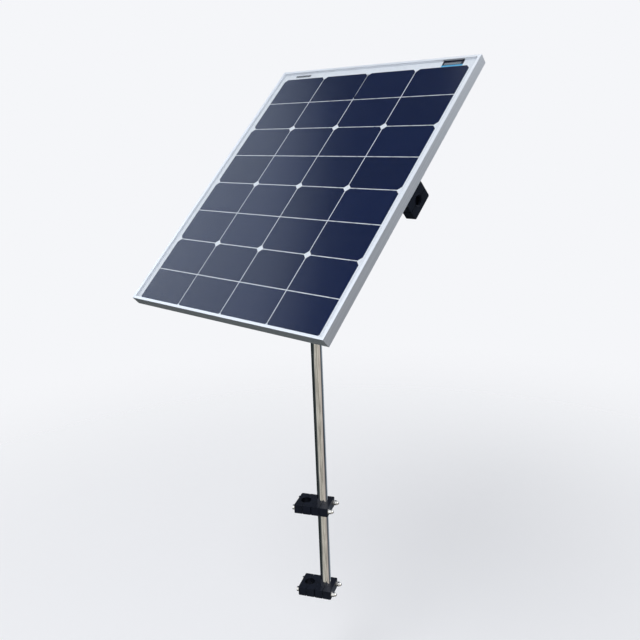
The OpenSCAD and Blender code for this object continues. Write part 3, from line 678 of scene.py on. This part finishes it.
class SOLAR_OT_clamps(bpy.types.Operator):
    """Make the moulded shells of the end clamps and the rail clamps"""
    bl_idname = "solar.clamps"
    bl_label = "Clamps"

    def execute(self, context):
        radius = context.scene.solar_sizes.clamp_edge
        ends = [f"{side}_clamp_{half}_shell" for side in ("left", "right")
                for half in ("frame", "outer")]
        rails = [f"{place}_{half}" for place in ("lower", "upper")
                 for half in ("rail_jaw", "rail_block", "mast_block", "mast_jaw")]
        for name in ends + rails:
            rounded(name, radius, moulded_nylon())
        return {"FINISHED"}


class SOLAR_OT_tubes(bpy.types.Operator):
    """Make the polished mast and cross tube with their caps and plug"""
    bl_idname = "solar.tubes"
    bl_label = "Tubes"

    def execute(self, context):
        steps = context.scene.solar_sizes.tube_segments
        foot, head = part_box("mast_tube")
        low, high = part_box("cross_tube")
        radius = (high.z - low.z) / 2
        wall = 1.5 * MM
        ease = 0.3 * MM
        sideways = Matrix.Rotation(math.pi / 2, 4, "Y")
        level = Matrix.Translation((low.x, TILT_POINT.y, TILT_POINT.z)) @ sideways
        upright = MAST @ Matrix.Translation((0, 0, foot.z))
        for name, place, length in (("mast_tube", upright, head.z - foot.z),
                                    ("cross_tube", level, high.x - low.x)):
            rings = [(ease, radius), (length - ease, radius), (length, radius - ease),
                     (length, radius - wall + ease), (length - ease, radius - wall),
                     (ease, radius - wall), (0, radius - wall + ease), (0, radius - ease)]
            new_piece(name + "_fine", ring_of_rings(rings, steps), place, "mast",
                      polished_steel(), [name])
        rounded("mast_foot_plug", 0.5 * MM, moulded_nylon())
        rim, deep, recess, mouth = 1.5 * MM, 14 * MM, 8 * MM, radius - 3.5 * MM
        cap = [(-deep, mouth), (-deep + ease, radius - wall), (0, radius - wall),
               (0, radius - 2 * ease), (ease, radius - ease), (rim - 2 * ease, radius - ease),
               (rim, radius - 3 * ease), (rim, radius - wall), (rim - ease, radius - 2 * MM),
               (-1 * MM, radius - 2.2 * MM), (-1.2 * MM, mouth), (-recess, mouth)]
        for side, end, quarter in (("left", low.x, -1), ("right", high.x, 1)):
            place = Matrix.Translation((end, TILT_POINT.y, TILT_POINT.z)) @ Matrix.Rotation(
                quarter * math.pi / 2, 4, "Y")
            new_piece(f"cross_tube_cap_{side}_fine", solid_of_rings(cap, steps), place, "mast",
                      moulded_nylon(), [f"cross_tube_cap_{side}"])
        return {"FINISHED"}


class SOLAR_OT_tee(bpy.types.Operator):
    """Make the cast tee that joins the mast to the cross tube"""
    bl_idname = "solar.tee"
    bl_label = "Tee"

    def execute(self, context):
        rounded("tee_fitting", 0.5 * MM, cast_steel())
        paint(fastener_steel(), "tee_grub_screws")
        return {"FINISHED"}


class SOLAR_OT_fasteners(bpy.types.Operator):
    """Finish the bolts, nuts and washers of the clamps"""
    bl_idname = "solar.fasteners"
    bl_label = "Fasteners"

    def execute(self, context):
        paint(fastener_steel(), "end_clamp_screws", "end_clamp_washers", "end_clamp_nuts",
              "rail_clamp_bolts", "rail_clamp_washers", "rail_clamp_nuts")
        return {"FINISHED"}


class SOLAR_OT_stage(bpy.types.Operator):
    """Set out the pale floor, the soft light and the camera"""
    bl_idname = "solar.stage"
    bl_label = "Stage"

    def execute(self, context):
        scene = context.scene
        stage = scene.solar_stage
        scene.view_settings.view_transform = "Standard"
        scene.world = studio_world()
        make_floor(CAD_BOX[0].z - stage.floor_drop)
        make_light(stage.key_power)
        scene.camera = make_camera(stage)
        return {"FINISHED"}


def studio_world():
    """Even pale light all round, with soft dark and bright zones for shiny pieces to reflect."""
    world = bpy.data.worlds.new("soft_studio")
    world.use_nodes = True
    tree = world.node_tree
    tree.nodes.clear()
    direction = add_node(tree, "ShaderNodeTexCoord").outputs["Generated"]
    part = add_node(tree, "ShaderNodeSeparateXYZ", {"Vector": direction}).outputs
    bearing = add_node(tree, "ShaderNodeMath", {0: part["Y"], 1: part["X"]},
                       operation="ARCTAN2").outputs["Value"]
    turn = add_node(tree, "ShaderNodeMapRange", {"Value": bearing, "From Min": -math.pi,
                                                 "From Max": math.pi}).outputs["Result"]
    # Below the horizon, from behind the left side through the front and the right to the back
    low_cards = add_node(tree, "ShaderNodeValToRGB", {"Fac": turn}, stops=(
        (0.0, "#1b2225"), (0.1, "#30393b"), (0.2, "#454d50"), (0.225, "#a3a39e"),
        (0.25, "#f6f5ee"), (0.28, "#8c8a84"), (0.305, "#f4f2ea"), (0.335, "#7b7872"),
        (0.37, "#e6e3da"), (0.4, "#74716b"), (0.43, "#f6f3e9"), (0.465, "#85817a"),
        (0.5, "#eae2db"), (0.56, "#b5adab"), (0.59, "#646b72"), (0.615, "#272d32"),
        (0.65, "#424d59"), (0.71, "#9aa8b9"), (0.83, "#b2b8be"), (0.9, "#3c474a"),
        (1.0, "#1b2225")
        )).outputs["Color"]
    # Above it, from the left side to the right
    across = add_node(tree, "ShaderNodeMapRange", {"Value": part["X"], "From Min": -1.0,
                                                   "From Max": 1.0}).outputs["Result"]
    sky = add_node(tree, "ShaderNodeValToRGB", {"Fac": across}, stops=(
        (0.0, "#eef4ff"), (0.05, "#e4ebf6"), (0.09, "#c4ccd9"), (0.143, "#a2aab8"),
        (0.172, "#3c424c"), (0.185, "#1a1e26"), (0.23, "#12151c"), (0.29, "#c3c6ca"),
        (0.7, "#c3c6ca"), (0.8, "#ffffff"), (1.0, "#ffffff"))
        ).outputs["Color"]
    front = add_node(tree, "ShaderNodeMapRange", {"Value": part["Y"], "From Min": -0.25,
                                                  "From Max": -0.45}).outputs["Result"]
    sky = add_node(tree, "ShaderNodeMix", {"Factor": front, "A": sky, "B": linear("#c3c6ca")},
                   data_type="RGBA").outputs["Result"]
    toward_back = add_node(tree, "ShaderNodeVectorMath", {0: direction, 1: (-0.65, 0.71, 0.27)},
                           operation="DOT_PRODUCT").outputs["Value"]
    shade = add_node(tree, "ShaderNodeMapRange", {"Value": toward_back, "From Min": 0.8,
                                                  "From Max": 0.93}).outputs["Result"]
    sky = add_node(tree, "ShaderNodeMix", {"Factor": shade, "A": sky, "B": linear("#1c2230")},
                   data_type="RGBA").outputs["Result"]
    above = add_node(tree, "ShaderNodeMapRange", {"Value": part["Z"], "From Min": 0.12,
                                                  "From Max": 0.45}).outputs["Result"]
    cards = add_node(tree, "ShaderNodeMix", {"Factor": above, "A": low_cards, "B": sky},
                     data_type="RGBA").outputs["Result"]
    strength = add_node(tree, "ShaderNodeMapRange", {"Value": above, "To Min": 1.0,
                                                     "To Max": 2.6}).outputs["Result"]
    reflected = add_node(tree, "ShaderNodeBackground", {"Color": cards, "Strength": strength})
    fill = add_node(tree, "ShaderNodeBackground", {"Color": linear("#f4f6fa"), "Strength": 0.8})
    seen = add_node(tree, "ShaderNodeBackground", {"Color": linear("#f5f6f9"), "Strength": 1.0})
    ray = add_node(tree, "ShaderNodeLightPath").outputs
    lit = add_node(tree, "ShaderNodeMixShader", {
        0: ray["Is Glossy Ray"], 1: fill.outputs[0], 2: reflected.outputs[0]}).outputs[0]
    shown = add_node(tree, "ShaderNodeMixShader", {
        0: ray["Is Camera Ray"], 1: lit, 2: seen.outputs[0]}).outputs[0]
    add_node(tree, "ShaderNodeOutputWorld", {"Surface": shown})
    return world


def make_floor(height):
    """A wide pale floor that fades out before its edge."""
    def build(tree):
        place = add_node(tree, "ShaderNodeTexCoord").outputs["Object"]
        away = add_node(tree, "ShaderNodeVectorMath", {0: place}, operation="LENGTH").outputs["Value"]
        fade = add_node(tree, "ShaderNodeMapRange", {"Value": away, "From Min": 0.6, "From Max": 3.0},
                        interpolation_type="SMOOTHSTEP").outputs["Result"]
        matt = add_node(tree, "ShaderNodeBsdfDiffuse", {"Color": linear("#fafafb")}).outputs[0]
        none = add_node(tree, "ShaderNodeBsdfTransparent").outputs[0]
        return add_node(tree, "ShaderNodeMixShader", {0: fade, 1: matt, 2: none}).outputs[0]
    shape = bmesh.new()
    bmesh.ops.create_circle(shape, cap_ends=True, segments=64, radius=5.0)
    mesh = bpy.data.meshes.new("floor")
    shape.to_mesh(mesh)
    shape.free()
    mesh.materials.append(finish("pale_floor", build))
    floor = bpy.data.objects.new("floor", mesh)
    floor.location = (TILT_POINT.x, TILT_POINT.y, height)
    floor.visible_glossy = False
    bpy.context.scene.collection.objects.link(floor)


def make_light(power):
    """One large soft light from the front and above."""
    lamp = bpy.data.lights.new("key_softbox", "AREA")
    lamp.shape, lamp.size, lamp.energy = "DISK", 1.4, power
    key = bpy.data.objects.new("key_softbox", lamp)
    key.location = TILT_POINT + Vector((0.3, -1.8, 1.9))
    key.rotation_euler = (TILT_POINT - key.location).to_track_quat("-Z", "Y").to_euler()
    key.visible_glossy = False
    bpy.context.scene.collection.objects.link(key)


def make_camera(stage):
    """The camera, placed from the tilt axis by its bearing, height, lean and offsets."""
    back = Vector((math.sin(stage.azimuth) * math.cos(stage.elevation),
                   -math.cos(stage.azimuth) * math.cos(stage.elevation), math.sin(stage.elevation)))
    level = Vector((math.cos(stage.azimuth), math.sin(stage.azimuth), 0))
    right = Matrix.Rotation(stage.roll, 3, back) @ level
    up = back.cross(right)
    lens = bpy.data.cameras.new("camera")
    lens.lens, lens.sensor_width = stage.lens, 36.0
    camera = bpy.data.objects.new("camera", lens)
    bpy.context.scene.collection.objects.link(camera)
    turn = Matrix((right, up, back)).transposed().to_4x4()
    spot = TILT_POINT + back * stage.distance + right * stage.aside + up * stage.rise
    camera.matrix_world = Matrix.Translation(spot) @ turn
    return camera


class SOLAR_PT_panel(bpy.types.Panel):
    """Lists the steps that finish the model"""
    bl_idname = "SOLAR_PT_panel"
    bl_label = "Solar Panel"
    bl_space_type = "VIEW_3D"
    bl_region_type = "UI"
    bl_category = "Solar Panel"

    def draw(self, context):
        for group in ("solar_finishes", "solar_sizes", "solar_stage"):
            settings = getattr(context.scene, group)
            for name in settings.bl_rna.properties.keys():
                if name not in ("rna_type", "name"):
                    self.layout.prop(settings, name)
        for step in STEPS:
            self.layout.operator(step.bl_idname)


STEPS = (SOLAR_OT_frame, SOLAR_OT_laminate, SOLAR_OT_cells, SOLAR_OT_labels, SOLAR_OT_junction_box,
         SOLAR_OT_glands, SOLAR_OT_clamps, SOLAR_OT_tubes, SOLAR_OT_tee, SOLAR_OT_fasteners,
         SOLAR_OT_stage)
GROUPS = {"solar_finishes": SolarFinishes, "solar_sizes": SolarSizes, "solar_stage": SolarStage}


def register():
    for group in GROUPS.values():
        bpy.utils.register_class(group)
    for name, group in GROUPS.items():
        setattr(bpy.types.Scene, name, PointerProperty(type=group))
    for step in (*STEPS, SOLAR_PT_panel):
        bpy.utils.register_class(step)


def unregister():
    for step in (SOLAR_PT_panel, *reversed(STEPS)):
        bpy.utils.unregister_class(step)
    for name, group in GROUPS.items():
        delattr(bpy.types.Scene, name)
        bpy.utils.unregister_class(group)


def main():
    register()
    for step in STEPS:
        family, name = step.bl_idname.split(".")
        getattr(getattr(bpy.ops, family), name)()


if __name__ == "__main__":
    main()
